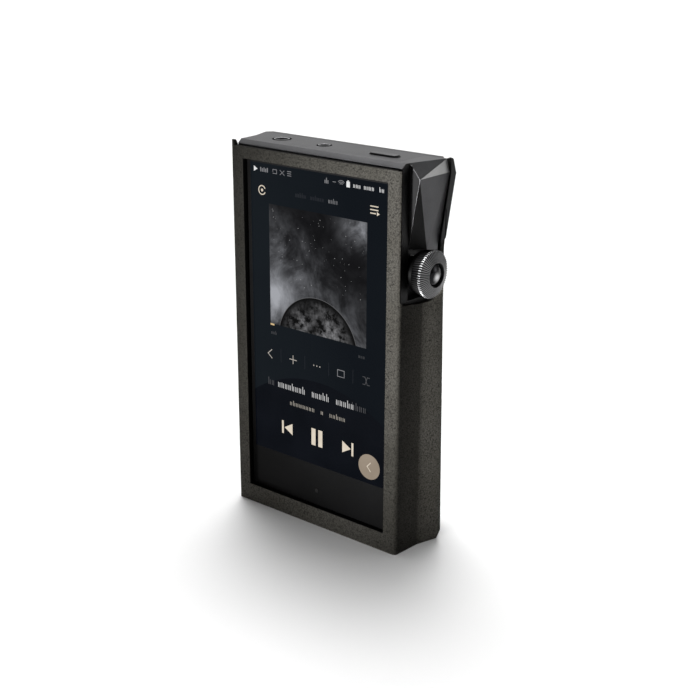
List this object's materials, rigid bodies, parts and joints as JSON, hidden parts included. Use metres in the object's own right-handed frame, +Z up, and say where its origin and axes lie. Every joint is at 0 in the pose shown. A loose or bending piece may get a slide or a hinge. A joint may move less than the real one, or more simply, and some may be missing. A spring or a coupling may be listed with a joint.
{
  "type": "digital audio player",
  "caption": "Pocket digital audio player with a colour touch display, a knurled volume knob under a faceted guard, headphone sockets and side keys, in a slip-on leather case.",
  "frame": {"origin": "centre of the case's base, on the surface it stands on", "axes": "+X to the user's right when facing the display, +Y towards the back, +Z up along the player"},
  "size_m": [0.089, 0.0354, 0.1423],
  "materials": {
    "leather": "fine-grained dark brown-grey leather",
    "anodised_dark": "fine-blasted, dark grey anodised",
    "anodised_black": "blasted and black anodised",
    "black_glass": "black-backed, polished",
    "sensor_film": "clear laminated film",
    "display": "lit display cell",
    "steel": "stamped and tinned",
    "magnesium": "stamped plate",
    "circuit_board": "solder-masked glass fibre",
    "chip_plastic": "moulded epoxy",
    "pouch_cell": "foil-laminated pouch",
    "foam": "closed-cell adhesive foam",
    "black_plastic": "moulded",
    "flex": "polyimide film",
    "shaft_steel": "ground",
    "cap_gloss": "polished, black plated",
    "smoked_diffuser": "smoked translucent moulding",
    "screw_steel": "blackened",
    "ring_metal": "turned, black anodised"
  },
  "bodies": {
    "case": {"case_front_wrap": "leather", "case_back_panel": "leather", "case_bottom_panel": "leather"},
    "player": {"amplifier_shields": "steel", "audio_board": "circuit_board", "balanced_jack": "black_plastic", "balanced_jack_ring": "ring_metal", "battery_lead": "flex", "battery_pack": "pouch_cell", "battery_pads": "foam", "board_screws": "screw_steel", "card_slot": "steel", "cover_glass": "black_glass", "dac_chips": "chip_plastic", "display_bracket": "magnesium", "display_flex": "flex", "display_panel": "display", "encoder_body": "black_plastic", "encoder_bush": "screw_steel", "encoder_nut": "screw_steel", "front_frame": "anodised_dark", "guard_screws": "screw_steel", "headphone_jack": "black_plastic", "headphone_jack_ring": "ring_metal", "knob_guard": "anodised_dark", "light_ring": "smoked_diffuser", "main_board": "circuit_board", "memory_chip": "chip_plastic", "pocket_liner": "black_plastic", "power_shield": "steel", "power_switch": "black_plastic", "power_switch_board": "circuit_board", "processor_shield": "steel", "radio_shield": "steel", "rear_shell": "anodised_black", "shell_screws": "screw_steel", "side_board": "circuit_board", "side_switches": "black_plastic", "touch_sensor": "sensor_film", "usb_port": "steel", "usb_tongue": "black_plastic", "wifi_antenna": "flex"},
    "knob": {"volume_knob": "anodised_black", "knob_cap": "cap_gloss", "encoder_shaft": "shaft_steel"},
    "power_key": {"power_button": "anodised_dark"},
    "previous_key": {"previous_button": "anodised_dark"},
    "play_key": {"play_button": "anodised_dark"},
    "next_key": {"next_button": "anodised_dark"}
  },
  "joints": [
    {"name": "player_lift", "type": "slide", "parent": "case", "child": "player", "axis": [0, 0, 1], "range_m": [0, 0.145]},
    {"name": "knob_spin", "type": "hinge", "parent": "player", "child": "knob", "pos_m": [0, -0.0061, 0.10365], "axis": [1, 0, 0], "continuous": true},
    {"name": "power_press", "type": "slide", "parent": "player", "child": "power_key", "axis": [0, 0, -1], "range_m": [0, 0.0004], "stiffness_N_per_m": 1500},
    {"name": "previous_press", "type": "slide", "parent": "player", "child": "previous_key", "axis": [0.9578, 0.2873, 0], "range_m": [0, 0.0004], "stiffness_N_per_m": 1500},
    {"name": "play_press", "type": "slide", "parent": "player", "child": "play_key", "axis": [0.9578, 0.2873, 0], "range_m": [0, 0.0004], "stiffness_N_per_m": 1500},
    {"name": "next_press", "type": "slide", "parent": "player", "child": "next_key", "axis": [0.9578, 0.2873, 0], "range_m": [0, 0.0004], "stiffness_N_per_m": 1500}
  ]
}
